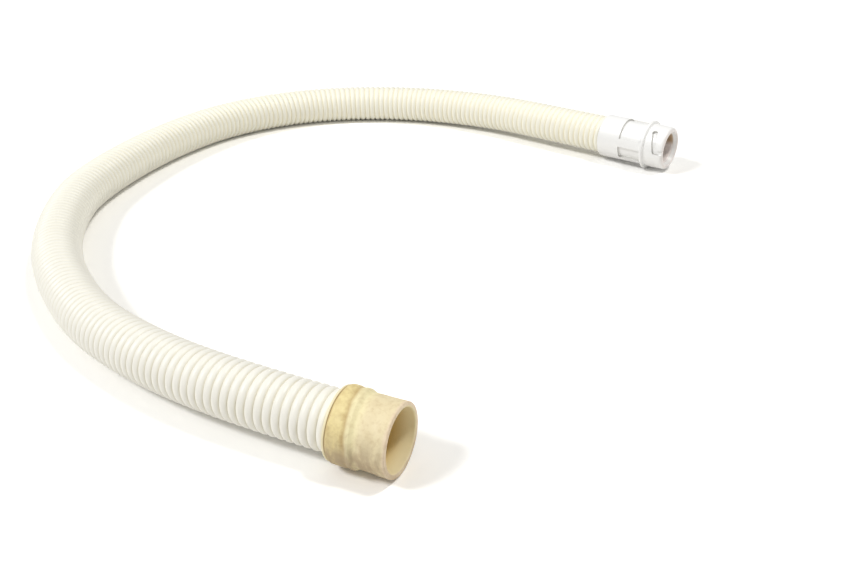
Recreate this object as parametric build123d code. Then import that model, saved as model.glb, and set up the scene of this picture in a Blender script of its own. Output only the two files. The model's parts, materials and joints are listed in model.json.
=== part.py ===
from build123d import *
import math
import os

# One section of a pool cleaner's suction hose, lying in a C on the floor.
# A soft push-on cuff turns on a sleeve at its near end, and a hard twist-lock fitting is on its far end.
# Millimetres. +Z is up, the floor is at Z = 0 and the origin is below the middle of the bounding box.

# Hose: rounded ribs with grooves between them, and a wall below the grooves
HOSE_OD = 36.5
HOSE_WALL = 0.95
GROOVE_DEPTH = 1.8
GROOVE_WIDTH = 3.0
RIB_CROWN = 0.5
RIB_COUNT = 200

# The sleeve and the socket are bonded to the hose's plain tails
BOND_GAP = 0.1

# Swivel sleeve on the near tail: a lip that shows, a journal that the cuff turns on, and a catch inside the cuff
SLEEVE_SEAT_DEPTH = 11.0
SLEEVE_STOP = 1.4
LIP_LENGTH = 1.4
LIP_RISE = 1.05
LIP_ROUND = 0.45
JOURNAL_WALL = 1.9
CATCH_RISE = 1.7
CATCH_THICKNESS = 2.4
CATCH_CHAMFER = 1.0
SWIVEL_GAP = 0.3

# Push-on cuff: a collar of two crests with a waist between them, a neck, and a sleeve that flares to its rim
# Its length is measured from the lip of the swivel sleeve
CUFF_LENGTH = 37.0
CUFF_BORE = 36.3
CUFF_STOP = 1.6
NECK_WALL = 2.6
RIM_WALL = 3.15
RIM_ROUND = 1.0
COLLAR_RISE = 1.45
COLLAR_LENGTH = 13.0
COLLAR_ROUND = 2.0
CREST_LENGTH = 7.0
CREST_ROUND = 1.2
WAIST_DEPTH = 0.5
WAIST_WIDTH = 4.4
WAIST_ROUND = 4.0
SHOULDER_LENGTH = 2.6

# Twist-lock socket, from its band at the hose to the rim of the tip that goes into the next section
SOCKET_LENGTH = 68.2
SOCKET_SEAT_DEPTH = 21.0
SOCKET_STOP_RISE = 1.5
BAND_WALL = 2.95
BAND_PAST_SEAT = 1.5
GRIP_STEP = 0.6
TIP_WALL = 6.75
TIP_LENGTH = 19.5
TIP_LAND = 4.5
TIP_TAPER = 0.6
TIP_ROUND = 3.0
FLANGE_RISE = 2.55
FLANGE_THICKNESS = 2.8
EDGE_ROUND = 0.8

# Thumb recesses in the grip and J-shaped bayonet tracks in the tip, each repeated by a half turn
# Angles are about the socket's axis: 90 degrees is up and 180 degrees is the side inside the C
SIDES = 2
RECESS_DEPTH = 1.9
RECESS_FROM = 185.0
RECESS_TO = 232.0
RECESS_LAND = 1.0
TRACK_WIDTH = 4.6
TRACK_DEPTH = 2.4
TRACK_REACH = 9.9
TRACK_DRAW_IN = 4.4
TRACK_ENTRY_ANGLE = 179.0
TRACK_LOCK_ANGLE = 127.0
TRACK_DETENT_WIDTH = 5.4

# Radii of what seats on the hose
BORE_RADIUS = HOSE_OD / 2 - GROOVE_DEPTH - HOSE_WALL
TAIL_RADIUS = HOSE_OD / 2 - GROOVE_DEPTH
SEAT_RADIUS = TAIL_RADIUS + BOND_GAP
JOURNAL_RADIUS = SEAT_RADIUS + JOURNAL_WALL
CATCH_RADIUS = JOURNAL_RADIUS + CATCH_RISE
NECK_RADIUS = CUFF_BORE / 2 + NECK_WALL
COLLAR_RADIUS = max(NECK_RADIUS, CATCH_RADIUS) + COLLAR_RISE
BAND_RADIUS = SEAT_RADIUS + BAND_WALL
GRIP_RADIUS = BAND_RADIUS - GRIP_STEP
SOCKET_BORE_RADIUS = BORE_RADIUS - SOCKET_STOP_RISE
TIP_RADIUS = SOCKET_BORE_RADIUS + TIP_WALL
FLANGE_RADIUS = max(TIP_RADIUS, GRIP_RADIUS) + FLANGE_RISE

# Distances along the fittings
SLEEVE_LENGTH = SLEEVE_SEAT_DEPTH + SLEEVE_STOP
BAND_LENGTH = SOCKET_SEAT_DEPTH + BAND_PAST_SEAT
FLANGE_END = SOCKET_LENGTH - TIP_LENGTH
FLANGE_START = FLANGE_END - FLANGE_THICKNESS

# Heights of the hose's axis: the ribs, the collar and the flange all rest on the floor
# The hose rises a little behind the cuff, which brings the cuff's rim down
COLLAR_CLEARANCE = 0.15
CUFF_LIFT = 1.6
HOSE_Z = HOSE_OD / 2
CUFF_Z = COLLAR_RADIUS + COLLAR_CLEARANCE
SOCKET_Z = FLANGE_RADIUS

# Route of the hose's axis, from its end inside the swivel sleeve to its end inside the socket
ROUTE = [
    (-2, -297, CUFF_Z),
    (-72, -267, CUFF_Z + CUFF_LIFT),
    (-142, -220, (CUFF_Z + CUFF_LIFT + HOSE_Z) / 2),
    (-196, -166, HOSE_Z),
    (-245, -81, HOSE_Z),
    (-265, 8, HOSE_Z),
    (-263, 71, HOSE_Z),
    (-230, 172, HOSE_Z),
    (-175, 256, HOSE_Z),
    (-90, 306, HOSE_Z),
    (8, 313, HOSE_Z),
    (100, 277, (SOCKET_Z + HOSE_Z) / 2),
    (167, 223, SOCKET_Z),
    (233, 173, SOCKET_Z),
]
# Share of the shorter run that each bend takes up
BEND_SHARE = 0.45

UP = Vector(0, 0, 1)


def bend_radii(points):
    """The largest bend at each corner of the route that its two runs leave room for."""
    radii = []
    for before, corner, after in zip(points, points[1:], points[2:]):
        run_in = Vector(corner) - Vector(before)
        run_out = Vector(after) - Vector(corner)
        half_turn = math.radians(run_in.get_angle(run_out)) / 2
        shorter = min(run_in.length, run_out.length)
        radii.append(BEND_SHARE * shorter / math.tan(half_turn))
    return radii


def turned(outline):
    """A solid turned about Z from (radius, height, corner round) points."""
    points = [(radius, height) for radius, height, _ in outline]
    rounds = [corner for _, _, corner in outline]
    wire = FilletPolyline(*points, radius=rounds, close=True)
    return revolve(make_face(Plane.XZ * wire), Axis.Z)


def ring_sector(inner, outer, low, high, start, sweep):
    """Part of a ring about Z, from one angle round to another, in degrees."""
    section = Polyline((inner, low), (outer, low), (outer, high), (inner, high), close=True)
    sector = revolve(make_face(Plane.XZ * section), Axis.Z, revolution_arc=sweep)
    return Rot(0, 0, start) * sector


def hose_sections(length):
    """(distance, radius) of each circle along the hose: tail, four circles to a rib, tail."""
    crest = HOSE_OD / 2
    shoulder = crest - RIB_CROWN
    flank = GROOVE_WIDTH / 2
    first_rib = SLEEVE_SEAT_DEPTH
    last_rib = length - SOCKET_SEAT_DEPTH
    pitch = (last_rib - first_rib) / RIB_COUNT
    sections = [(0, TAIL_RADIUS)]
    for rib in range(RIB_COUNT):
        start = first_rib + rib * pitch
        sections.append((start, TAIL_RADIUS))
        sections.append((start + flank, shoulder))
        sections.append((start + pitch / 2, crest))
        sections.append((start + pitch - flank, shoulder))
    sections.append((last_rib, TAIL_RADIUS))
    sections.append((length, TAIL_RADIUS))
    return sections


def across(path, distance):
    """The plane square to the path at a distance along it, with its X axis always upwards."""
    origin = path.position_at(distance, PositionMode.LENGTH)
    along = path.tangent_at(distance, PositionMode.LENGTH)
    return Plane(origin, x_dir=UP, z_dir=along)


def make_hose(path):
    """The ribbed outside, with the bore cut out of it."""
    circles = []
    for distance, radius in hose_sections(path.length):
        circles.append(across(path, distance) * Circle(radius))
    outside = loft(circles, ruled=True)
    bore = sweep(across(path, 0) * Circle(BORE_RADIUS), path=path)
    return outside - bore


def ribbed_volume(path):
    """The hose's volume worked out from its sections, to compare with the solid."""
    sections = hose_sections(path.length)
    outside = 0
    for (start, first), (end, second) in zip(sections, sections[1:]):
        outside += math.pi * (end - start) * (first**2 + first * second + second**2) / 3
    return outside - math.pi * BORE_RADIUS**2 * path.length


def make_sleeve():
    """Lip, journal and snap-in catch, with a seat for the hose's tail and a stop behind it."""
    lip = JOURNAL_RADIUS + LIP_RISE
    catch_start = SLEEVE_LENGTH - CATCH_THICKNESS
    return turned([
        (SEAT_RADIUS, 0, 0),
        (lip, 0, LIP_ROUND),
        (lip, LIP_LENGTH, LIP_ROUND),
        (JOURNAL_RADIUS, LIP_LENGTH, 0),
        (JOURNAL_RADIUS, catch_start, 0),
        (CATCH_RADIUS, catch_start, 0),
        (CATCH_RADIUS, SLEEVE_LENGTH - CATCH_CHAMFER, 0),
        (CATCH_RADIUS - CATCH_CHAMFER, SLEEVE_LENGTH, 0),
        (BORE_RADIUS, SLEEVE_LENGTH, 0),
        (BORE_RADIUS, SLEEVE_SEAT_DEPTH, 0),
        (SEAT_RADIUS, SLEEVE_SEAT_DEPTH, 0),
    ])


def make_cuff():
    """Collar round the catch, neck and flared sleeve, with a stop for what is pushed in."""
    collar_start = LIP_LENGTH + SWIVEL_GAP
    collar_end = collar_start + COLLAR_LENGTH
    waist_start = collar_start + CREST_LENGTH
    catch_room = CATCH_RADIUS + SWIVEL_GAP
    catch_room_start = SLEEVE_LENGTH - CATCH_THICKNESS - SWIVEL_GAP
    catch_room_end = SLEEVE_LENGTH + SWIVEL_GAP
    stop_end = catch_room_end + CUFF_STOP
    return turned([
        (JOURNAL_RADIUS + SWIVEL_GAP, collar_start, 0),
        (COLLAR_RADIUS, collar_start, COLLAR_ROUND),
        (COLLAR_RADIUS, waist_start, CREST_ROUND),
        (COLLAR_RADIUS - WAIST_DEPTH, waist_start + WAIST_WIDTH / 2, WAIST_ROUND),
        (COLLAR_RADIUS, waist_start + WAIST_WIDTH, CREST_ROUND),
        (COLLAR_RADIUS, collar_end, CREST_ROUND),
        (NECK_RADIUS, collar_end + SHOULDER_LENGTH, SHOULDER_LENGTH),
        (CUFF_BORE / 2 + RIM_WALL, CUFF_LENGTH, RIM_ROUND),
        (CUFF_BORE / 2, CUFF_LENGTH, RIM_ROUND),
        (CUFF_BORE / 2, stop_end, 0),
        (BORE_RADIUS, stop_end, 0),
        (BORE_RADIUS, catch_room_end, 0),
        (catch_room, catch_room_end, 0),
        (catch_room, catch_room_start, 0),
        (JOURNAL_RADIUS + SWIVEL_GAP, catch_room_start, 0),
    ])


def j_track():
    """One bayonet track for a lug: in along the axis, then round and inwards to a wider detent."""
    inner = TIP_RADIUS - TRACK_DEPTH
    outer = FLANGE_RADIUS
    middle = (inner + outer) / 2
    half = TRACK_WIDTH / 2
    sweep_angle = TRACK_ENTRY_ANGLE - TRACK_LOCK_ANGLE
    middle_angle = (TRACK_ENTRY_ANGLE + TRACK_LOCK_ANGLE) / 2
    arc_length = math.radians(sweep_angle) * TIP_RADIUS
    slope = math.degrees(math.atan2(TRACK_DRAW_IN, arc_length))
    leg_z = SOCKET_LENGTH - TRACK_REACH
    entry_z = leg_z + TRACK_DRAW_IN / 2
    lock_z = leg_z - TRACK_DRAW_IN / 2

    # The leg round the tip is a ring sector, tilted about the radius through its middle
    leg = ring_sector(inner, outer, -half, half, -sweep_angle / 2, sweep_angle)
    leg = Pos(0, 0, leg_z) * Rot(slope, 0, 0) * leg
    leg = Rot(0, 0, middle_angle) * leg

    way_in = SOCKET_LENGTH - entry_z
    entry = Pos(middle, 0, entry_z + way_in) * Box(outer - inner, TRACK_WIDTH, 2 * way_in)
    corner = Pos(middle, 0, entry_z) * Rot(0, 90, 0) * Cylinder(half, outer - inner)
    detent = Pos(middle, 0, lock_z) * Rot(0, 90, 0) * Cylinder(TRACK_DETENT_WIDTH / 2, outer - inner)
    track = leg + Rot(0, 0, TRACK_ENTRY_ANGLE) * (entry + corner)
    return track + Rot(0, 0, TRACK_LOCK_ANGLE) * detent


def make_socket():
    """Band with a seat for the hose, grip, flange, and a tip that tapers from a plain land to its rim."""
    body = turned([
        (SEAT_RADIUS, 0, 0),
        (BAND_RADIUS, 0, EDGE_ROUND),
        (BAND_RADIUS, BAND_LENGTH, 0),
        (GRIP_RADIUS, BAND_LENGTH, 0),
        (GRIP_RADIUS, FLANGE_START, EDGE_ROUND),
        (FLANGE_RADIUS, FLANGE_START, EDGE_ROUND),
        (FLANGE_RADIUS, FLANGE_END, EDGE_ROUND),
        (TIP_RADIUS, FLANGE_END, EDGE_ROUND),
        (TIP_RADIUS, FLANGE_END + TIP_LAND, 0),
        (TIP_RADIUS - TIP_TAPER, SOCKET_LENGTH, TIP_ROUND),
        (SOCKET_BORE_RADIUS, SOCKET_LENGTH, EDGE_ROUND),
        (SOCKET_BORE_RADIUS, SOCKET_SEAT_DEPTH, 0),
        (SEAT_RADIUS, SOCKET_SEAT_DEPTH, 0),
    ])
    floor = GRIP_RADIUS - RECESS_DEPTH
    recess_end = FLANGE_START - RECESS_LAND
    recess = ring_sector(
        floor, BAND_RADIUS, BAND_LENGTH, recess_end, RECESS_FROM, RECESS_TO - RECESS_FROM
    )
    track = j_track()
    for side in range(SIDES):
        turn = Rot(0, 0, side * 360 / SIDES)
        body = body - turn * recess - turn * track
    return body


radii = bend_radii(ROUTE)
path = Wire(FilletPolyline(*ROUTE, radius=radii).edges())

# A fitting's own Z axis runs along the hose towards the fitting's mouth
# Its X axis is level and its Y axis is upwards
cuff_out = path.tangent_at(0) * -1
cuff_lip = path.position_at(SLEEVE_SEAT_DEPTH, PositionMode.LENGTH)
cuff_place = Plane(cuff_lip, x_dir=UP.cross(cuff_out), z_dir=cuff_out)
socket_out = path.tangent_at(1)
socket_band = path.position_at(path.length - SOCKET_SEAT_DEPTH, PositionMode.LENGTH)
socket_place = Plane(socket_band, x_dir=UP.cross(socket_out), z_dir=socket_out)

hose = make_hose(path)
pieces = {
    "hose": hose,
    "swivel_sleeve": cuff_place * make_sleeve(),
    "cuff": cuff_place * make_cuff(),
    "lock_socket": socket_place * make_socket(),
}

os.makedirs("parts", exist_ok=True)
for name, piece in pieces.items():
    piece.label = name
    export_step(piece, f"parts/{name}.step")

box = Compound(children=list(pieces.values())).bounding_box()
print("bend radii", [round(radius) for radius in radii])
print("hose length", round(path.length, 1), "rib count", RIB_COUNT)
print("hose volume", round(hose.volume), "from its sections", round(ribbed_volume(path)))
print("box", [round(value, 2) for value in (*box.min, *box.max)])
print("cuff rim", cuff_place.from_local_coords((0, 0, CUFF_LENGTH)), "axis", cuff_out)
print("socket rim", socket_place.from_local_coords((0, 0, SOCKET_LENGTH)), "axis", socket_out)
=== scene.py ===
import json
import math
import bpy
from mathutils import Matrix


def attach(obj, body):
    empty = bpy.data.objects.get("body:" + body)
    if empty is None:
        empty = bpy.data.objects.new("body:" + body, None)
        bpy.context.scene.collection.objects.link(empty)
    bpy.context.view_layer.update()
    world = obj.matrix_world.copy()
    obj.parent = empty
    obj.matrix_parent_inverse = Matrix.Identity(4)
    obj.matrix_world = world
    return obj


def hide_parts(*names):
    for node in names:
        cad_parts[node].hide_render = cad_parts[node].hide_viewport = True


bl_info = {
    "name": "Pool Hose Section",
    "version": (1, 0, 0),
    "blender": (4, 5, 0),
    "location": "View3D > Sidebar > Pool Hose",
    "description": "Dresses a ribbed suction hose section with its swivel cuff and twist-lock tip",
    "category": "Object",
}

import bpy
from bpy.props import FloatProperty, FloatVectorProperty, IntProperty, PointerProperty
from mathutils import Matrix, Vector

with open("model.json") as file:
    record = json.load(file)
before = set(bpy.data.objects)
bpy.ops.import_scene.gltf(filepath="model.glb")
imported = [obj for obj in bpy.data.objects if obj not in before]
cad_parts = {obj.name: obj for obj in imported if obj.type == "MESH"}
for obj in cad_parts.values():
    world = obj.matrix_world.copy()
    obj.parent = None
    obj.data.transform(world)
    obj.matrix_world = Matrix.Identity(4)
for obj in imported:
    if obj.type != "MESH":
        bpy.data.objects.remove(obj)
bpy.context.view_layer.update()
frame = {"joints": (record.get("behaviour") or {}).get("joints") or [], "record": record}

MM = 0.001
SWIVEL = frame["joints"][0]
MOUNTS = {mount["name"]: mount for mount in frame["record"]["mounts"]}

# The fitting's mount is at the middle of the plain land on its tip, this far from the start of its band
LOCK_TIP_STATION = 51.35 * MM

# Route of the hose's axis, from its end inside the swivel sleeve to its end inside the socket
ROUTE = [
    (-0.002, -0.297, 0.02235),
    (-0.072, -0.267, 0.02395),
    (-0.142, -0.220, 0.0211),
    (-0.196, -0.166, 0.01825),
    (-0.245, -0.081, 0.01825),
    (-0.265, 0.008, 0.01825),
    (-0.263, 0.071, 0.01825),
    (-0.230, 0.172, 0.01825),
    (-0.175, 0.256, 0.01825),
    (-0.090, 0.306, 0.01825),
    (0.008, 0.313, 0.01825),
    (0.100, 0.277, 0.020775),
    (0.167, 0.223, 0.0233),
    (0.233, 0.173, 0.0233),
]

# Each rib is a sine wave over its groove, raised to a power that makes the rib full and the groove narrow
RIB_STEPS = 10
RIB_FULLNESS = 0.65
HOSE_SIDES = 44
BORE_RINGS = 120

# Room between the cuff and the sleeve that it turns on
SWIVEL_GAP = 0.3 * MM

PLASTIC_IOR = 1.53
# The paper is burnt out to white where it is seen
BURNT_OUT = (1.22, 1.215, 1.20)

# The camera comes from fitting the hose's outline to the photograph
CAMERA_PLACE = (0.03416, -0.69788, 0.3227)
CAMERA_TILT = math.radians(62.08)
CAMERA_LENS = 38.86
CAMERA_SENSOR = 36


def linear(code):
    """Linear red, green and blue of an sRGB hex colour."""
    channels = []
    for start in (1, 3, 5):
        value = int(code[start:start + 2], 16) / 255
        if value <= 0.04045:
            channels.append(value / 12.92)
        else:
            channels.append(((value + 0.055) / 1.055) ** 2.4)
    return tuple(channels)


def size(name, description, millimetres):
    """A length property of a piece, with its default in millimetres."""
    return FloatProperty(
        name=name, description=description, default=millimetres * MM, min=0, unit="LENGTH", precision=5
    )


def colour(name, description, code):
    """A colour property of a piece, with its default as an sRGB hex value."""
    return FloatVectorProperty(
        name=name, description=description, default=linear(code), size=3, min=0, max=1, subtype="COLOR"
    )


def level(name, description, share):
    """A light's level, as the share of full white that it gives a white surface that faces it."""
    return FloatProperty(name=name, description=description, default=share, min=0, subtype="FACTOR")


class PoolHoseLine(bpy.types.PropertyGroup):
    """Sizes and colours of the ribbed hose."""

    outside: size("Outside", "Diameter over the ribs", 36.5)
    wall: size("Wall", "Wall below the grooves", 0.95)
    groove: size("Groove", "Depth of the grooves between the ribs", 1.8)
    ribs: IntProperty(name="Ribs", description="Number of ribs", default=200, min=2)
    near_tail: size("Near Tail", "Plain end inside the swivel sleeve", 11.0)
    far_tail: size("Far Tail", "Plain end inside the socket", 21.0)
    near_colour: colour("Near Colour", "Ribs at the cuff's end", "#FDFBF2")
    # The far colours are yellower, and also painted paler as painted light where less lamp light reaches
    far_yellowed_lit_colour: colour("Far Colour", "Ribs at the socket's end, which yellowed more", "#FFFDEF")
    near_dirt: colour("Near Dirt", "Pale dirt in the grooves at the cuff's end", "#E9E5D4")
    far_dirt_lit: colour("Far Dirt", "Tan dirt in the grooves at the socket's end", "#FDF7E0")


class PoolHoseSleeve(bpy.types.PropertyGroup):
    """Sizes and colours of the sleeve that the cuff turns on."""

    seat: size("Seat", "Radius of the seat for the hose's tail", 16.55)
    bore: size("Bore", "Radius of the water's way", 15.5)
    journal: size("Journal", "Radius of the journal", 18.45)
    lip: size("Lip", "Radius of the lip that shows behind the cuff", 21.4)
    lip_length: size("Lip Length", "Length of the lip", 1.4)
    catch: size("Catch", "Radius of the catch that holds the cuff", 20.15)
    catch_length: size("Catch Length", "Length of the catch", 2.4)
    length: size("Length", "Whole length of the sleeve", 12.4)
    lip_colour: colour("Lip Colour", "Aged plastic of the lip", "#FAF0CB")
    dirt_colour: colour("Dirt Colour", "Dirt on the lip", "#D9C693")


class PoolHoseCuff(bpy.types.PropertyGroup):
    """Sizes and colours of the soft push-on cuff."""

    length: size("Length", "Length from the sleeve's lip to the cuff's rim", 37.0)
    bore: size("Bore", "Radius that is stretched over the spigot", 18.15)
    rim_wall: size("Rim Wall", "Wall at the rim", 3.15)
    neck: size("Neck", "Outside radius behind the collar", 20.75)
    collar: size("Collar", "Outside radius of the collar", 22.2)
    collar_length: size("Collar Length", "Length of the collar", 13.0)
    waist: size("Waist", "Depth of the waist between the collar's two crests", 0.5)
    waist_station: size("Waist Station", "Distance of the waist from the sleeve's lip", 10.9)
    vinyl_colour: colour("Vinyl Colour", "Yellowed vinyl of the sleeve", "#F2E3BB")
    crest_colour: colour("Crest Colour", "Yellower vinyl of the first crest", "#F4E2A6")
    pale_colour: colour("Pale Colour", "Rubbed vinyl of the second crest", "#FAEFC0")
    waist_colour: colour("Waist Colour", "Dirt in the waist", "#D8C28C")
    stain_and_shade_colour: colour("Stain Colour", "Brown dirt beside the lip and in the mottling", "#B4935A")
    # The film colour is also painted shade, which darkens the lower side
    film_and_shade_colour: colour("Film Colour", "Grey-brown film on the lower side", "#B7A383")
    # The rim colour is pinkish vinyl, painted paler partly as painted light where the lamps catch the rim
    rim_colour: colour("Rim Colour", "Pinkish vinyl of the rim", "#F8E4C6")
    inside_colour: colour("Inside Colour", "Stained vinyl inside the mouth", "#FBEDC2")
    # Painted shade: the colour deep in the mouth stands in for the shade that falls there
    deep_shade_colour: colour("Deep Colour", "Browner vinyl deep inside the mouth", "#E2BF6C")


class PoolHoseSocket(bpy.types.PropertyGroup):
    """Sizes and colours of the twist-lock fitting."""

    length: size("Length", "From the band's start to the rim", 68.2)
    seat: size("Seat", "Radius of the seat for the hose's tail", 16.55)
    seat_depth: size("Seat Depth", "Depth of the seat for the hose's tail", 21.0)
    band: size("Band", "Outside radius of the band and of the grip's lands", 20.5)
    grip: size("Grip", "Radius of the floors of the grip's recesses", 18.5)
    flange: size("Flange", "Outside radius of the flange", 23.3)
    tip: size("Tip", "Outside radius of the tip", 20.75)
    tip_length: size("Tip Length", "Length of the tip in front of the flange", 19.5)
    bore: size("Bore", "Radius of the bore", 14.0)
    track_width: size("Track Width", "Width of the bayonet tracks", 4.6)
    track_depth: size("Track Depth", "Depth of the bayonet tracks", 2.4)
    plastic_colour: colour("Plastic Colour", "White moulded plastic", "#FEFEFD")
    rim_colour: colour("Rim Colour", "Pinkish film on the rim", "#FAF4F1")
    inside_colour: colour("Inside Colour", "Pinkish film inside the bore", "#FFF8F6")
    # Painted shade: brown on the upper side of the bore
    stain_and_shade_colour: colour("Stain Colour", "Brown stain on the upper side of the bore", "#BCA284")
    # Painted shade: grey on the walls of the recesses and the tracks
    step_shade_colour: colour("Step Colour", "Grey dirt on the walls of the recesses and the tracks", "#D0CFCB")


class PoolHoseStage(bpy.types.PropertyGroup):
    """Floor and lights."""

    floor_size: FloatProperty(
        name="Floor Size", description="Side of the floor", default=4.4, min=1, unit="LENGTH"
    )
    floor_colour: colour("Floor Colour", "White paper floor", "#E9E7E3")
    key: level("Key", "Lamp on the left", 0.45)
    top: level("Top", "Lamp overhead, towards the right", 0.38)
    ambient: level("Ambient", "Light from all round", 0.37)


class PoolHoseSettings(bpy.types.PropertyGroup):
    """All settings of the hose section."""

    hose: PointerProperty(type=PoolHoseLine)
    sleeve: PointerProperty(type=PoolHoseSleeve)
    cuff: PointerProperty(type=PoolHoseCuff)
    socket: PointerProperty(type=PoolHoseSocket)
    stage: PointerProperty(type=PoolHoseStage)


def place_at(origin, axis):
    """Frame of a fitting: Z out of its mouth, X level and Y upwards."""
    out = Vector(axis).normalized()
    across = Vector((0, 0, 1)).cross(out).normalized()
    turn = Matrix((across, out.cross(across), out)).transposed()
    return Matrix.Translation(origin) @ turn.to_4x4()


CUFF_PLACE = place_at(SWIVEL["pos_m"], SWIVEL["axis"])
# The soft cuff has sagged: its top leans back, its collar is askew on the hose, and its rim droops
CUFF_LEAN = 0.045
CUFF_SKEW = 0.1
CUFF_DROOP = 0.45 * MM
LOCK_AXIS = Vector(MOUNTS["lock_tip"]["axis"]).normalized()
SOCKET_PLACE = place_at(Vector(MOUNTS["lock_tip"]["pos_m"]) - LOCK_AXIS * LOCK_TIP_STATION, LOCK_AXIS)


def add_node(tree, kind, inputs=None, **settings):
    """Add one node with its settings, and link or fill its inputs."""
    node = tree.nodes.new(kind)
    for name, value in settings.items():
        setattr(node, name, value)
    for key, value in (inputs or {}).items():
        if isinstance(value, bpy.types.NodeSocket):
            tree.links.new(value, node.inputs[key])
        else:
            node.inputs[key].default_value = value
    return node


def new_material(name):
    """An empty node material, and its tree."""
    material = bpy.data.materials.new(name)
    material.use_nodes = True
    material.node_tree.nodes.clear()
    return material, material.node_tree


def opaque(rgb):
    """A colour with its alpha."""
    return (*rgb, 1)


def mix(tree, share, first, second):
    """The first colour with a share of the second."""
    node = add_node(tree, "ShaderNodeMix", {0: share, 6: first, 7: second}, data_type="RGBA")
    return node.outputs[2]


def noise(tree, vector, millimetres, detail=2.0):
    """Noise in patches that are about so many millimetres across."""
    node = add_node(
        tree, "ShaderNodeTexNoise", {"Vector": vector, "Scale": 1 / (millimetres * MM), "Detail": detail}
    )
    return node.outputs["Fac"]


def fade(tree, value, low, high, start=0.0, end=1.0):
    """A value that goes smoothly from start to end while another goes from low to high."""
    node = add_node(
        tree,
        "ShaderNodeMapRange",
        {0: value, 1: low, 2: high, 3: start, 4: end},
        interpolation_type="SMOOTHSTEP",
    )
    return node.outputs[0]


def times(tree, first, second):
    """The product of two values."""
    return add_node(tree, "ShaderNodeMath", {0: first, 1: second}, operation="MULTIPLY").outputs[0]


def bump(tree, height, millimetres, strength, normal=None):
    """A skin so many millimetres deep, over another one if there is one."""
    inputs = {"Height": height, "Strength": strength, "Distance": millimetres * MM}
    if normal:
        inputs["Normal"] = normal
    return add_node(tree, "ShaderNodeBump", inputs).outputs[0]


def fitting_place(tree, place):
    """The place on a fitting in the fitting's own frame."""
    here = add_node(tree, "ShaderNodeTexCoord")
    local = add_node(
        tree,
        "ShaderNodeMapping",
        {"Vector": here.outputs["Object"], "Location": place.to_translation(), "Rotation": place.to_euler()},
        vector_type="TEXTURE",
    )
    return local.outputs[0]


def off_axis(tree, local):
    """The way from a fitting's axis to the place, square to the axis."""
    return add_node(tree, "ShaderNodeVectorMath", {0: local, 1: (1, 1, 0)}, operation="MULTIPLY").outputs[0]


def axis_distance(tree, local):
    """The distance from a fitting's axis."""
    way = off_axis(tree, local)
    return add_node(tree, "ShaderNodeVectorMath", {0: way}, operation="LENGTH").outputs["Value"]


def finish(tree, rgb, roughness, normal):
    """The shader that all the plastics share, for their colour, roughness and skin."""
    shader = add_node(
        tree,
        "ShaderNodeBsdfPrincipled",
        {"Base Color": rgb, "Roughness": roughness, "Normal": normal, "IOR": PLASTIC_IOR},
    )
    add_node(tree, "ShaderNodeOutputMaterial", {"Surface": shader.outputs[0]})


def rounded(outline, steps=5):
    """Rings of a closed outline of (radius, height, corner round) points."""
    rings = []
    for index, (radius, height, corner_round) in enumerate(outline):
        corner = Vector((radius, height))
        if corner_round == 0:
            rings.append((radius, height))
            continue
        before = (Vector(outline[index - 1][:2]) - corner).normalized()
        after = (Vector(outline[(index + 1) % len(outline)][:2]) - corner).normalized()
        half = before.angle(after) / 2
        reach = corner_round / math.tan(half)
        middle = corner + (before + after).normalized() * corner_round / math.sin(half)
        first = corner + before * reach - middle
        last = corner + after * reach - middle
        for step in range(steps + 1):
            arm = first.lerp(last, step / steps).normalized() * corner_round
            rings.append(tuple(middle + arm))
    return rings


def divided(rings, most):
    """The same rings, with more between those that are further apart than most."""
    finer = []
    for start, end in zip(rings, rings[1:] + rings[:1]):
        gap = (Vector(end) - Vector(start)).length
        count = max(1, math.ceil(gap / most))
        for step in range(count):
            finer.append(tuple(Vector(start).lerp(Vector(end), step / count)))
    return finer


def pick(piece):
    """Make a piece the active one, and the only one selected."""
    bpy.ops.object.select_all(action="DESELECT")
    piece.select_set(True)
    bpy.context.view_layer.objects.active = piece


def mesh_piece(name, points, faces):
    """A piece from its points and faces, with the faces turned outwards."""
    mesh = bpy.data.meshes.new(name)
    mesh.from_pydata(points, [], faces)
    piece = bpy.data.objects.new(name, mesh)
    bpy.context.scene.collection.objects.link(piece)
    pick(piece)
    bpy.ops.object.mode_set(mode="EDIT")
    bpy.ops.mesh.select_all(action="SELECT")
    bpy.ops.mesh.normals_make_consistent(inside=False)
    bpy.ops.object.mode_set(mode="OBJECT")
    return piece


def turn_piece(name, rings, sides, place):
    """Model a turned piece: a circle is drawn out from ring to ring, closed, and put in its place."""
    bpy.ops.object.select_all(action="DESELECT")
    radius, height = rings[0]
    bpy.ops.mesh.primitive_circle_add(vertices=sides, radius=radius, location=(0, 0, height))
    piece = bpy.context.object
    piece.name = name
    bpy.ops.object.transform_apply(location=True, rotation=True, scale=True)
    bpy.ops.object.mode_set(mode="EDIT")
    bpy.ops.mesh.select_all(action="SELECT")
    for next_radius, next_height in rings[1:] + rings[:1]:
        bpy.ops.mesh.extrude_region_move(
            TRANSFORM_OT_translate={"value": (0, 0, next_height - height)}
        )
        share = next_radius / radius
        if abs(share - 1) > 1e-7:
            bpy.ops.transform.resize(value=(share, share, 1), center_override=(0, 0, next_height))
        radius, height = next_radius, next_height
    bpy.ops.mesh.select_all(action="SELECT")
    bpy.ops.mesh.remove_doubles(threshold=0.005 * MM)
    bpy.ops.mesh.normals_make_consistent(inside=False)
    bpy.ops.object.mode_set(mode="OBJECT")
    settle(piece, place)
    return piece


def settle(piece, place):
    """Put a piece in its place and leave its object at the origin."""
    pick(piece)
    piece.matrix_world = place
    bpy.ops.object.transform_apply(location=True, rotation=True, scale=True)


def smooth_piece(piece, angle):
    """Shade a piece smooth, apart from edges that are sharper than the angle."""
    pick(piece)
    bpy.ops.object.shade_smooth_by_angle(angle=math.radians(angle))


def use_material(piece, material):
    """Give a piece its one material."""
    piece.data.materials.clear()
    piece.data.materials.append(material)


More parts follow.
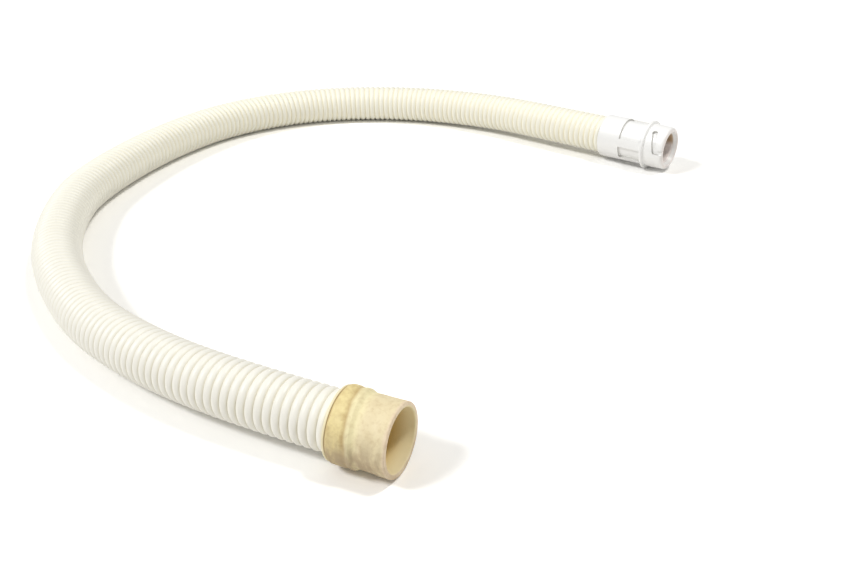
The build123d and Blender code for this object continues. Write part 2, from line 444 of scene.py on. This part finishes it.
def route_line():
    """Points along the smooth line that has the route's points as its control points."""
    curve = bpy.data.curves.new("hose_route", "CURVE")
    curve.dimensions = "3D"
    curve.resolution_u = 60
    spline = curve.splines.new("NURBS")
    spline.points.add(len(ROUTE) - 1)
    for point, place in zip(spline.points, ROUTE):
        point.co = (*place, 1)
    spline.order_u = 3
    spline.use_endpoint_u = True
    guide = bpy.data.objects.new("hose_route", curve)
    bpy.context.scene.collection.objects.link(guide)
    bpy.context.view_layer.update()
    mesh = bpy.data.meshes.new_from_object(guide)
    line = [vertex.co.copy() for vertex in mesh.vertices]
    bpy.data.objects.remove(guide)
    bpy.data.curves.remove(curve)
    bpy.data.meshes.remove(mesh)
    return line


class Line:
    """A line of points, read by the distance along it."""

    def __init__(self, points):
        self.points = points
        self.marks = [0.0]
        for start, end in zip(points, points[1:]):
            self.marks.append(self.marks[-1] + (end - start).length)
        self.length = self.marks[-1]

    def at(self, distance):
        """The point at a distance."""
        low = 0
        high = len(self.marks) - 1
        while high - low > 1:
            middle = (low + high) // 2
            if self.marks[middle] <= distance:
                low = middle
            else:
                high = middle
        share = (distance - self.marks[low]) / (self.marks[high] - self.marks[low])
        return self.points[low].lerp(self.points[high], share)

    def ring(self, distance, radius, sides):
        """Points of a circle square to the line, the first one on its upper side."""
        reach = 2 * MM
        behind = self.at(max(0.0, distance - reach))
        ahead = self.at(min(self.length, distance + reach))
        along = (ahead - behind).normalized()
        side = along.cross(Vector((0, 0, 1))).normalized()
        upper = side.cross(along)
        centre = self.at(distance)
        points = []
        for step in range(sides):
            angle = 2 * math.pi * step / sides
            points.append(centre + (upper * math.cos(angle) + side * math.sin(angle)) * radius)
        return points


def hose_material(settings):
    """Blow-moulded vinyl hose: satin, cream white, yellower at the far end and painted paler there as
    painted light, with dirt in its grooves.
    """
    material, tree = new_material("aged_vinyl_hose")
    here = add_node(tree, "ShaderNodeTexCoord").outputs["Object"]
    along = add_node(tree, "ShaderNodeAttribute", attribute_name="along").outputs["Fac"]
    groove = add_node(tree, "ShaderNodeAttribute", attribute_name="groove").outputs["Fac"]
    # Towards the far end the ribs and the groove dirt are yellower, and also painted paler as painted light
    yellowing_and_painted_light = fade(tree, along, 0.15, 0.75)
    ribs = mix(tree, yellowing_and_painted_light, opaque(settings.near_colour), opaque(settings.far_yellowed_lit_colour))
    dirt = mix(tree, yellowing_and_painted_light, opaque(settings.near_dirt), opaque(settings.far_dirt_lit))
    # Blotches about 40 mm across, where the plastic aged unevenly
    aged = mix(tree, fade(tree, noise(tree, here, 40, 3.0), 0.4, 0.75, 0.0, 0.12), ribs, dirt)
    # Dirt fills the bottom of the grooves, unevenly over about 9 mm
    patch = noise(tree, here, 9)
    filled = times(tree, fade(tree, groove, 0.2, 0.9), fade(tree, patch, 0.25, 0.75, 0.55, 1.0))
    dirt_and_shade = mix(tree, filled, aged, dirt)
    # Moulded skin, drawn at 1.2 mm so that it shows
    skin = bump(tree, noise(tree, here, 1.2), 0.1, 0.12)
    finish(tree, dirt_and_shade, fade(tree, patch, 0.2, 0.8, 0.36, 0.52), skin)
    return material


class POOLHOSE_OT_hose(bpy.types.Operator):
    """Build the ribbed hose along its line"""

    bl_idname = "poolhose.hose"
    bl_label = "Ribbed Hose"

    def execute(self, context):
        settings = context.scene.pool_hose.hose
        line = Line(route_line())
        crest = settings.outside / 2
        tail = crest - settings.groove
        bore = tail - settings.wall
        last_rib = line.length - settings.far_tail
        pitch = (last_rib - settings.near_tail) / settings.ribs
        stations = [(0.0, 0.0)]
        for rib in range(settings.ribs):
            start = settings.near_tail + rib * pitch
            for step in range(RIB_STEPS):
                share = step / RIB_STEPS
                stations.append((start + share * pitch, math.sin(math.pi * share) ** RIB_FULLNESS))
        stations.append((last_rib, 0.0))
        stations.append((line.length, 0.0))
        points = []
        grooves = []
        distances = []
        for distance, height in stations:
            points.extend(line.ring(distance, tail + settings.groove * height, HOSE_SIDES))
            grooves.extend([1 - height] * HOSE_SIDES)
            distances.extend([distance] * HOSE_SIDES)
        for step in range(BORE_RINGS + 1):
            distance = line.length * (1 - step / BORE_RINGS)
            points.extend(line.ring(distance, bore, HOSE_SIDES))
            grooves.extend([0.5] * HOSE_SIDES)
            distances.extend([distance] * HOSE_SIDES)
        rings = len(stations) + BORE_RINGS + 1
        faces = []
        for ring in range(rings):
            after = (ring + 1) % rings
            for step in range(HOSE_SIDES):
                beside = (step + 1) % HOSE_SIDES
                faces.append((
                    ring * HOSE_SIDES + step,
                    ring * HOSE_SIDES + beside,
                    after * HOSE_SIDES + beside,
                    after * HOSE_SIDES + step,
                ))
        hose = mesh_piece("ribbed_hose", points, faces)
        hose.data.attributes.new("groove", "FLOAT", "POINT").data.foreach_set("value", grooves)
        hose.data.attributes.new("along", "FLOAT", "POINT").data.foreach_set("value", distances)
        smooth_piece(hose, 75)
        use_material(hose, hose_material(settings))
        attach(hose, "hose_line")
        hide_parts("hose")
        return {"FINISHED"}


def sleeve_material(settings):
    """Harder moulded plastic of the swivel sleeve, aged to cream."""
    material, tree = new_material("aged_sleeve_plastic")
    here = add_node(tree, "ShaderNodeTexCoord").outputs["Object"]
    blotch = noise(tree, here, 12, 3.0)
    dirt = opaque(settings.dirt_colour)
    cream = mix(tree, fade(tree, blotch, 0.35, 0.75, 0.0, 0.35), opaque(settings.lip_colour), dirt)
    # Moulded skin, drawn at 0.8 mm so that it shows
    skin = bump(tree, noise(tree, here, 0.8), 0.1, 0.1)
    finish(tree, cream, fade(tree, blotch, 0.2, 0.8, 0.38, 0.52), skin)
    return material


class POOLHOSE_OT_sleeve(bpy.types.Operator):
    """Turn the swivel sleeve: lip, journal and catch"""

    bl_idname = "poolhose.sleeve"
    bl_label = "Swivel Sleeve"

    def execute(self, context):
        settings = context.scene.pool_hose.sleeve
        catch_start = settings.length - settings.catch_length
        seat_end = settings.length - 1.4 * MM
        chamfer = 1.0 * MM
        lip_round = 0.45 * MM
        outline = [
            (settings.seat, 0, 0),
            (settings.lip, 0, lip_round),
            (settings.lip, settings.lip_length, lip_round),
            (settings.journal, settings.lip_length, 0),
            (settings.journal, catch_start, 0),
            (settings.catch, catch_start, 0),
            (settings.catch, settings.length - chamfer, 0),
            (settings.catch - chamfer, settings.length, 0),
            (settings.bore, settings.length, 0),
            (settings.bore, seat_end, 0),
            (settings.seat, seat_end, 0),
        ]
        sleeve = turn_piece("swivel_sleeve_turned", rounded(outline), sides=96, place=CUFF_PLACE)
        smooth_piece(sleeve, 35)
        use_material(sleeve, sleeve_material(settings))
        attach(sleeve, "hose_line")
        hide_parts("swivel_sleeve")
        return {"FINISHED"}


def cuff_material(settings):
    """Soft moulded vinyl, yellowed by sun and pool water: satin, mottled, with brown dirt in its waist,
    painted shade on its lower side and deep in its mouth, and a pinkish rim that is painted paler, partly as
    painted light.
    """
    material, tree = new_material("yellowed_soft_vinyl")
    local = fitting_place(tree, CUFF_PLACE)
    axes = add_node(tree, "ShaderNodeSeparateXYZ", {0: local})
    radius = axis_distance(tree, local)
    # The bands of colour follow the moulded rings, and wander by half a millimetre over 10 mm
    station = add_node(tree, "ShaderNodeAttribute", attribute_name="station").outputs["Fac"]
    wander = fade(tree, noise(tree, local, 10, 4.0), 0.3, 0.7, -0.6 * MM, 0.6 * MM)
    along = add_node(tree, "ShaderNodeMath", {0: station, 1: wander})
    share = add_node(tree, "ShaderNodeMath", {0: along.outputs[0], 1: settings.length}, operation="DIVIDE")
    bands = add_node(tree, "ShaderNodeValToRGB", {0: share.outputs[0]})
    # Distances from the sleeve's lip, in millimetres
    stops = [
        (1.4, settings.stain_and_shade_colour),
        (3.0, settings.crest_colour),
        (8.8, settings.crest_colour),
        (10.9, settings.waist_colour),
        (12.8, settings.pale_colour),
        (17.0, settings.pale_colour),
        (22.0, settings.vinyl_colour),
        (34.6, settings.vinyl_colour),
        # The rim is painted paler, partly as painted light
        (36.2, settings.rim_colour),
    ]
    ramp = bands.color_ramp.elements
    while len(ramp) < len(stops):
        ramp.new(1)
    for element, (place, rgb) in zip(ramp, stops):
        element.position = place * MM / settings.length
        element.color = opaque(rgb)
    # Brown mottling, thick on the first crest and thin on the sleeve, in soft patches of about 5 mm
    stain = opaque(settings.stain_and_shade_colour)
    smear = fade(tree, noise(tree, local, 5, 5.0), 0.36, 0.78)
    thick = fade(tree, station, 10 * MM, 14 * MM, 0.8, 0.3)
    # The mottling is heavier towards the lower side, which darkens it there
    lower = fade(tree, axes.outputs["Y"], 18 * MM, -12 * MM, 0.55, 1.0)
    smeared = mix(tree, times(tree, times(tree, smear, thick), lower), bands.outputs[0], stain)
    # Finer specks of dirt, about 2 mm across
    specks = fade(tree, noise(tree, local, 2.2, 4.0), 0.42, 0.74, 0.0, 0.2)
    mottled = mix(tree, specks, smeared, stain)
    # Grey-brown film with painted shade on the lower side: the lower side is painted darker as shade, in
    # patches that are 4 mm wide and 11 mm long round the cuff
    low = fade(tree, axes.outputs["Y"], 14 * MM, -9 * MM, 0.0, 0.95)
    drawn_out = add_node(tree, "ShaderNodeMapping", {"Vector": local, "Scale": (0.35, 0.35, 1)})
    streak = fade(tree, noise(tree, drawn_out.outputs[0], 4, 4.0), 0.24, 0.62)
    off_rim = fade(tree, station, 34 * MM, 36 * MM, 1.0, 0.35)
    filmed_and_shaded = mix(tree, times(tree, times(tree, low, streak), off_rim), mottled, opaque(settings.film_and_shade_colour))
    # The bore has stain too, and is painted browner the deeper it is, as painted shade
    depth = fade(tree, station, 34 * MM, 18 * MM)
    bore_stain_and_shade = mix(tree, depth, opaque(settings.inside_colour), opaque(settings.deep_shade_colour))
    inside = fade(tree, radius, settings.bore + 0.3 * MM, settings.bore + 0.9 * MM, 1.0, 0.0)
    stained_and_shaded = mix(tree, inside, filmed_and_shaded, bore_stain_and_shade)
    # Soft moulded skin: shallow dimples over 4 mm, and a finer grain drawn at 0.9 mm so that it shows
    dimples = bump(tree, noise(tree, local, 4), 0.5, 0.35)
    skin = bump(tree, noise(tree, local, 0.9), 0.12, 0.3, dimples)
    finish(tree, stained_and_shaded, fade(tree, streak, 0.0, 1.0, 0.48, 0.68), skin)
    return material


def between(value, low, high):
    """The share of the way from low to high, kept between 0 and 1."""
    return min(1, max(0, (value - low) / (high - low)))


def sag(cuff, outside, stop):
    """Lean and skew the cuff, all but its start and the hollow that turns on the sleeve."""
    back = CUFF_PLACE.inverted()
    stations = []
    for vertex in cuff.data.vertices:
        place = back @ vertex.co
        stations.append(place.z)
        if place.xy.length < outside and place.z < stop:
            continue
        start = between(place.z, 2.5 * MM, 9 * MM)
        # The skew goes back, and a little past straight, over the second crest and the neck
        turn_back = 1.2 * between(place.z, 11 * MM, 22 * MM)
        place.z -= start * (place.y * CUFF_LEAN + place.x * CUFF_SKEW * (1 - turn_back))
        place.y -= CUFF_DROOP * between(place.z, 14 * MM, 36 * MM)
        vertex.co = CUFF_PLACE @ place
    cuff.data.attributes.new("station", "FLOAT", "POINT").data.foreach_set("value", stations)


def slacken(cuff, least_radius):
    """Let the outside of the cuff wander a little, as soft vinyl does when it was stretched and has aged."""
    back = CUFF_PLACE.inverted()
    group = cuff.vertex_groups.new(name="outside")
    chosen = []
    for vertex in cuff.data.vertices:
        place = back @ vertex.co
        if place.xy.length > least_radius and place.z > 2.5 * MM:
            chosen.append(vertex.index)
    group.add(chosen, 1, "REPLACE")
    clouds = bpy.data.textures.new("soft_vinyl", "CLOUDS")
    clouds.noise_scale = 11 * MM
    clouds.noise_depth = 1
    modifier = cuff.modifiers.new("slack", "DISPLACE")
    modifier.texture = clouds
    modifier.texture_coords = "LOCAL"
    modifier.vertex_group = group.name
    modifier.mid_level = 0.5
    modifier.strength = 0.5 * MM
    bpy.ops.object.modifier_apply(modifier=modifier.name)
    cuff.vertex_groups.clear()


class POOLHOSE_OT_cuff(bpy.types.Operator):
    """Turn the soft push-on cuff: collar with two crests, neck and flared sleeve"""

    bl_idname = "poolhose.cuff"
    bl_label = "Push-on Cuff"

    def execute(self, context):
        settings = context.scene.pool_hose.cuff
        inside = context.scene.pool_hose.sleeve
        journal = inside.journal + SWIVEL_GAP
        start = inside.lip_length + 0.12 * MM
        end = inside.lip_length + SWIVEL_GAP + settings.collar_length
        room = inside.catch + SWIVEL_GAP
        room_start = inside.length - inside.catch_length - SWIVEL_GAP
        room_end = inside.length + SWIVEL_GAP
        stop = room_end + 1.6 * MM
        shoulder = 2.6 * MM
        rim_round = 1.0 * MM
        crest_round = 1.2 * MM
        half_waist = 2.2 * MM
        outline = [
            (journal, start, 0),
            (settings.collar, start, 2.0 * MM),
            (settings.collar, settings.waist_station - half_waist, crest_round),
            (settings.collar - settings.waist, settings.waist_station, 4.0 * MM),
            (settings.collar, settings.waist_station + half_waist, crest_round),
            (settings.collar, end, crest_round),
            (settings.neck, end + shoulder, shoulder),
            (settings.bore + settings.rim_wall, settings.length, rim_round),
            (settings.bore, settings.length, rim_round),
            (settings.bore, stop, 0),
            (inside.bore, stop, 0),
            (inside.bore, room_end, 0),
            (room, room_end, 0),
            (room, room_start, 0),
            (journal, room_start, 0),
        ]
        rings = divided(rounded(outline), 1.2 * MM)
        cuff = turn_piece("push_on_cuff", rings, sides=128, place=CUFF_PLACE)
        outside = room + 0.15 * MM
        sag(cuff, outside, stop + 0.1 * MM)
        slacken(cuff, outside)
        smooth_piece(cuff, 40)
        use_material(cuff, cuff_material(settings))
        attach(cuff, "swivel_cuff")
        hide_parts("cuff")
        return {"FINISHED"}


def press_in(piece, outer, floor, start, round_by, low, high):
    """Press a patch of a turned piece's outside in to a floor, so far round and between two heights."""
    bpy.ops.object.mode_set(mode="EDIT")
    bpy.ops.mesh.select_mode(type="FACE")
    bpy.ops.mesh.select_all(action="DESELECT")
    bpy.ops.object.mode_set(mode="OBJECT")
    for face in piece.data.polygons:
        middle = face.center
        angle = (math.atan2(middle.y, middle.x) - start) % (2 * math.pi)
        on_outside = middle.xy.length > outer - 0.1 * MM
        face.select = on_outside and angle < round_by and low < middle.z < high
    bpy.ops.object.mode_set(mode="EDIT")
    bpy.ops.mesh.extrude_region_move()
    share = floor / outer
    bpy.ops.transform.resize(value=(share, share, 1), center_override=(0, 0, 0))
    bpy.ops.object.mode_set(mode="OBJECT")


def track_cutter(settings):
    """A solid of one J-shaped track: in along the tip, then round and inwards to a wider detent."""
    entry_angle = math.radians(179)
    lock_angle = math.radians(127)
    draw_in = 4.4 * MM
    detent = 2.7 * MM
    half = settings.track_width / 2
    entry_z = settings.length - 9.9 * MM + draw_in / 2
    lock_z = entry_z - draw_in
    leg = (entry_angle - lock_angle) * settings.tip
    half_across = half * math.hypot(leg, draw_in) / leg
    sliver = 0.05 * MM
    first = sliver - detent
    last = leg + half - sliver
    steps = 72
    # Distances round the tip from the detent's middle: both sides of the entry's wall, and then many steps,
    # which are closer together at the round ends
    wall = leg - half
    distances = [wall - 0.01 * MM, wall + 0.01 * MM]
    for step in range(steps + 1):
        distances.append(first + (last - first) * (1 - math.cos(math.pi * step / steps)) / 2)
    points = []
    for distance in sorted(distances):
        lows = []
        highs = []
        if abs(distance) < detent:
            reach = math.sqrt(detent**2 - distance**2)
            lows.append(lock_z - reach)
            highs.append(lock_z + reach)
        if 0 <= distance <= leg:
            middle = lock_z + draw_in * distance / leg
            lows.append(middle - half_across)
            highs.append(middle + half_across)
        if abs(distance - leg) < half:
            lows.append(entry_z - math.sqrt(half**2 - (distance - leg) ** 2))
            highs.append(settings.length + 2 * MM)
        angle = lock_angle + distance / settings.tip
        spoke = Vector((math.cos(angle), math.sin(angle), 0))
        inner = spoke * (settings.tip - settings.track_depth)
        outer = spoke * settings.flange
        low = Vector((0, 0, min(lows)))
        high = Vector((0, 0, max(highs)))
        points.extend([inner + low, inner + high, outer + high, outer + low])
    faces = [(0, 1, 2, 3), tuple(range(len(points) - 4, len(points)))]
    for corner in range(0, len(points) - 4, 4):
        for side in range(4):
            beside = (side + 1) % 4
            faces.append((corner + side, corner + beside, corner + 4 + beside, corner + 4 + side))
    return mesh_piece("track_cutter", points, faces)


def cut(piece, cutter, place):
    """Put a cutter in its place, take it out of a piece and delete it."""
    settle(cutter, place)
    pick(piece)
    modifier = piece.modifiers.new("cut", "BOOLEAN")
    modifier.operation = "DIFFERENCE"
    modifier.solver = "MANIFOLD"
    modifier.object = cutter
    bpy.ops.object.modifier_apply(modifier=modifier.name)
    bpy.data.objects.remove(cutter)


def soften_cuts(piece, least_radius, width):
    """Round the sharp edges of a turned piece that lie outside a radius about its axis."""
    bpy.ops.object.mode_set(mode="EDIT")
    bpy.ops.mesh.select_mode(type="EDGE")
    bpy.ops.mesh.select_all(action="DESELECT")
    bpy.ops.mesh.edges_select_sharp(sharpness=math.radians(40))
    bpy.ops.object.mode_set(mode="OBJECT")
    mesh = piece.data
    outside = [vertex.co.xy.length > least_radius for vertex in mesh.vertices]
    for edge in mesh.edges:
        if edge.select and not all(outside[index] for index in edge.vertices):
            edge.select = False
    bpy.ops.object.mode_set(mode="EDIT")
    bpy.ops.mesh.bevel(offset=width, segments=2, affect="EDGES", clamp_overlap=True)
    bpy.ops.mesh.select_all(action="SELECT")
    bpy.ops.mesh.remove_doubles(threshold=0.005 * MM)
    bpy.ops.object.mode_set(mode="OBJECT")


def socket_material(settings):
    """White moulded plastic, satin, with painted grey shade on its steps, a pinkish film, and painted brown
    shade on the upper side of its bore.
    """
    material, tree = new_material("white_moulded_plastic")
    local = fitting_place(tree, SOCKET_PLACE)
    axes = add_node(tree, "ShaderNodeSeparateXYZ", {0: local})
    radius = axis_distance(tree, local)
    # The film is uneven over 12 mm
    blotch = noise(tree, local, 12, 3.0)
    rim = fade(tree, axes.outputs["Z"], settings.length - 1.8 * MM, settings.length - 0.2 * MM)
    film = times(tree, rim, fade(tree, blotch, 0.3, 0.6, 0.55, 1.0))
    # Painted shade on what stands across the surface: the walls of the recesses and of the tracks are
    # painted grey where shade falls
    spoke = add_node(tree, "ShaderNodeVectorMath", {0: off_axis(tree, local)}, operation="NORMALIZE")
    normal = add_node(tree, "ShaderNodeTexCoord").outputs["Normal"]
    facing = add_node(
        tree,
        "ShaderNodeMapping",
        {"Vector": normal, "Rotation": SOCKET_PLACE.to_euler()},
        vector_type="TEXTURE",
    )
    lie = add_node(
        tree,
        "ShaderNodeVectorMath",
        {0: facing.outputs[0], 1: spoke.outputs[0]},
        operation="DOT_PRODUCT",
    )
    across = fade(tree, lie.outputs["Value"], 0.3, 0.75, 1.0, 0.0)
    rim_start = settings.length - 4.2 * MM
    behind_rim = fade(tree, axes.outputs["Z"], rim_start, rim_start + 0.8 * MM, 1.0, 0.0)
    under_flange = fade(tree, radius, settings.tip - 0.1 * MM, settings.tip + 0.3 * MM, 1.0, 0.0)
    # The painted shade is kept off the rim's end and off the flange
    dirt_and_shade = times(tree, times(tree, across, behind_rim), under_flange)
    shaded_steps = mix(tree, dirt_and_shade, opaque(settings.plastic_colour), opaque(settings.step_shade_colour))
    outside = mix(tree, film, shaded_steps, opaque(settings.rim_colour))
    bore = fade(tree, radius, settings.bore + 0.2 * MM, settings.bore + 0.9 * MM, 1.0, 0.0)
    # Painted brown shade on the upper side of the bore
    upper = fade(tree, axes.outputs["Y"], -3 * MM, 4 * MM)
    inside = mix(tree, upper, opaque(settings.inside_colour), opaque(settings.stain_and_shade_colour))
    stained_and_shaded = mix(tree, bore, outside, inside)
    # Moulded skin, drawn at 0.8 mm so that it shows
    skin = bump(tree, noise(tree, local, 0.8), 0.1, 0.06)
    finish(tree, stained_and_shaded, fade(tree, blotch, 0.2, 0.8, 0.26, 0.42), skin)
    return material


class POOLHOSE_OT_socket(bpy.types.Operator):
    """Turn the twist-lock fitting, press in its recesses and cut its J-shaped tracks"""

    bl_idname = "poolhose.socket"
    bl_label = "Twist-lock Fitting"

    def execute(self, context):
        settings = context.scene.pool_hose.socket
        edge = 0.8 * MM
        lead_in = 3.0 * MM
        flare = 2.4 * MM
        flare_depth = 5.0 * MM
        flange_width = 2.8 * MM
        land = 4.5 * MM
        taper = 0.6 * MM
        band_end = settings.seat_depth + 1.5 * MM
        flange_end = settings.length - settings.tip_length
        flange_start = flange_end - flange_width
        recess_end = flange_start - 1.0 * MM
        outline = [
            (settings.seat, 0, 0),
            (settings.band, 0, edge),
            (settings.band, band_end, 0),
            (settings.band, recess_end, 0),
            (settings.band, flange_start, edge),
            (settings.flange, flange_start, edge),
            (settings.flange, flange_end, edge),
            (settings.tip, flange_end, edge),
            (settings.tip, flange_end + land, 0),
            (settings.tip - taper, settings.length, lead_in),
            (settings.bore + flare, settings.length, 0.5 * MM),
            (settings.bore, settings.length - flare_depth, edge),
            (settings.bore, settings.seat_depth, 0),
            (settings.seat, settings.seat_depth, 0),
        ]
        rings = divided(rounded(outline), 2.0 * MM)
        socket = turn_piece("twist_lock_socket", rings, sides=144, place=Matrix())

        # Recesses for the thumb and the fingers in the grip: where each starts, and how far it goes round,
        # both on the lines of the turned mesh, which are 2.5 degrees apart
        recesses = [(math.radians(60), math.radians(102.5)), (math.radians(185), math.radians(37.5))]
        half_turns = (0, math.pi)
        for half_turn in half_turns:
            for start, round_by in recesses:
                start += half_turn
                press_in(socket, settings.band, settings.grip, start, round_by, band_end, recess_end)
        for half_turn in half_turns:
            cut(socket, track_cutter(settings), Matrix.Rotation(half_turn, 4, "Z"))
        soften_cuts(socket, least_radius=16.8 * MM, width=0.3 * MM)
        settle(socket, SOCKET_PLACE)
        smooth_piece(socket, 35)
        use_material(socket, socket_material(settings))
        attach(socket, "hose_line")
        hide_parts("lock_socket")
        return {"FINISHED"}


def add_lamp(name, place, side, share, tint):
    """A square soft lamp that faces the middle of the floor."""
    lamp = bpy.data.lights.new(name, "AREA")
    lamp.shape = "SQUARE"
    lamp.size = side
    lamp.energy = share * math.pi**2 * Vector(place).length_squared
    lamp.color = linear(tint)
    holder = bpy.data.objects.new(name, lamp)
    holder.location = place
    holder.rotation_euler = Vector(place).to_track_quat("Z", "Y").to_euler()
    bpy.context.scene.collection.objects.link(holder)


class POOLHOSE_OT_stage(bpy.types.Operator):
    """Lay the white floor, set the lamps and the camera"""

    bl_idname = "poolhose.stage"
    bl_label = "Stage"

    def execute(self, context):
        settings = context.scene.pool_hose.stage
        bpy.ops.object.select_all(action="DESELECT")
        bpy.ops.mesh.primitive_plane_add(size=settings.floor_size, location=(0, 0, 0))
        floor = context.object
        floor.name = "paper_floor"
        material, tree = new_material("white_paper_floor")
        path = add_node(tree, "ShaderNodeLightPath")
        seen = add_node(
            tree,
            "ShaderNodeMath",
            {0: path.outputs["Is Camera Ray"], 1: path.outputs["Is Glossy Ray"]},
            operation="MAXIMUM",
        )
        # White paper: burnt out where it is seen or mirrored, and lighting the hose as plain paper does
        paper = mix(tree, seen.outputs[0], opaque(settings.floor_colour), opaque(BURNT_OUT))
        shader = add_node(tree, "ShaderNodeBsdfDiffuse", {"Color": paper})
        add_node(tree, "ShaderNodeOutputMaterial", {"Surface": shader.outputs[0]})
        use_material(floor, material)

        add_lamp("key_lamp", (-5.2, -1.8, 5.8), 1.6, settings.key, "#FFFFFF")
        add_lamp("top_lamp", (1.33, -0.25, 3.22), 0.5, settings.top, "#FFFDF8")

        world = bpy.data.worlds.new("white_surround")
        world.use_nodes = True
        tree = world.node_tree
        tree.nodes.clear()
        path = add_node(tree, "ShaderNodeLightPath")
        white = opaque(linear("#FFFFFF"))
        light = add_node(tree, "ShaderNodeBackground", {"Color": white, "Strength": settings.ambient})
        view = add_node(tree, "ShaderNodeBackground", {"Color": white, "Strength": 1.0})
        both = add_node(
            tree,
            "ShaderNodeMixShader",
            {0: path.outputs["Is Camera Ray"], 1: light.outputs[0], 2: view.outputs[0]},
        )
        add_node(tree, "ShaderNodeOutputWorld", {"Surface": both.outputs[0]})
        context.scene.world = world
        context.scene.view_settings.view_transform = "Standard"

        camera = bpy.data.cameras.new("photo_camera")
        camera.sensor_width = CAMERA_SENSOR
        camera.sensor_fit = "HORIZONTAL"
        camera.lens = CAMERA_LENS
        holder = bpy.data.objects.new("photo_camera", camera)
        holder.location = CAMERA_PLACE
        holder.rotation_euler = (CAMERA_TILT, 0, 0)
        context.scene.collection.objects.link(holder)
        context.scene.camera = holder
        return {"FINISHED"}


class POOLHOSE_PT_panel(bpy.types.Panel):
    """Sizes, colours and build steps of the hose section"""

    bl_idname = "POOLHOSE_PT_panel"
    bl_label = "Pool Hose"
    bl_space_type = "VIEW_3D"
    bl_region_type = "UI"
    bl_category = "Pool Hose"

    def draw(self, context):
        settings = context.scene.pool_hose
        for operator in OPERATORS:
            self.layout.operator(operator.bl_idname)
        for group in (settings.hose, settings.sleeve, settings.cuff, settings.socket, settings.stage):
            box = self.layout.box()
            for name in group.__annotations__:
                box.prop(group, name)


OPERATORS = [
    POOLHOSE_OT_sleeve,
    POOLHOSE_OT_cuff,
    POOLHOSE_OT_socket,
    POOLHOSE_OT_hose,
    POOLHOSE_OT_stage,
]
CLASSES = [
    PoolHoseLine,
    PoolHoseSleeve,
    PoolHoseCuff,
    PoolHoseSocket,
    PoolHoseStage,
    PoolHoseSettings,
    *OPERATORS,
    POOLHOSE_PT_panel,
]


def register():
    for item in CLASSES:
        bpy.utils.register_class(item)
    bpy.types.Scene.pool_hose = PointerProperty(type=PoolHoseSettings)


def unregister():
    del bpy.types.Scene.pool_hose
    for item in reversed(CLASSES):
        bpy.utils.unregister_class(item)


def main():
    register()
    bpy.ops.poolhose.sleeve()
    bpy.ops.poolhose.cuff()
    bpy.ops.poolhose.socket()
    bpy.ops.poolhose.hose()
    bpy.ops.poolhose.stage()


if __name__ == "__main__":
    main()
